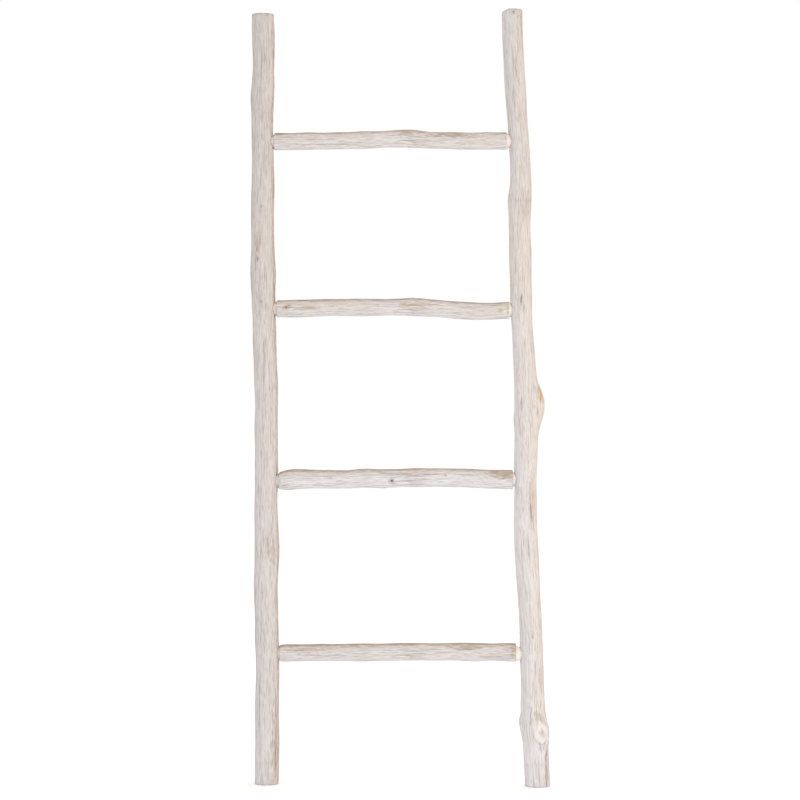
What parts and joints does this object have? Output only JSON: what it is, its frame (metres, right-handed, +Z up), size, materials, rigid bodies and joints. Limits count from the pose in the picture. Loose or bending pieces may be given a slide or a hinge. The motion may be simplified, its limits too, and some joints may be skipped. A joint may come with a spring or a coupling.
{
  "type": "blanket ladder",
  "caption": "Rustic leaning ladder of peeled, whitewashed branches, with rungs tenoned and nailed into the rails, for hanging quilts and blankets.",
  "frame": {"origin": "on the floor, under the middle of the ladder's box; both sawn feet lie in the plane z = 0", "axes": "+Z up along the rails, the rungs run along X, and the front faces -Y; the back, towards a wall, faces +Y"},
  "size_m": [0.5889, 0.0599, 1.5],
  "materials": {
    "rail_wood": "peeled branch, whitewashed and left matt",
    "rung_wood": "peeled branch, whitewashed and left matt, rubbed thin on top",
    "nail_steel": "bright round wire nail, dulled"
  },
  "bodies": {
    "root": {"left_rail": "rail_wood", "right_rail": "rail_wood", "rung_1": "rung_wood", "rung_2": "rung_wood", "rung_3": "rung_wood", "rung_4": "rung_wood", "rung_1_left_nail": "nail_steel", "rung_2_left_nail": "nail_steel", "rung_3_left_nail": "nail_steel", "rung_4_left_nail": "nail_steel", "rung_1_right_nail": "nail_steel", "rung_2_right_nail": "nail_steel", "rung_3_right_nail": "nail_steel", "rung_4_right_nail": "nail_steel"}
  },
  "joints": []
}
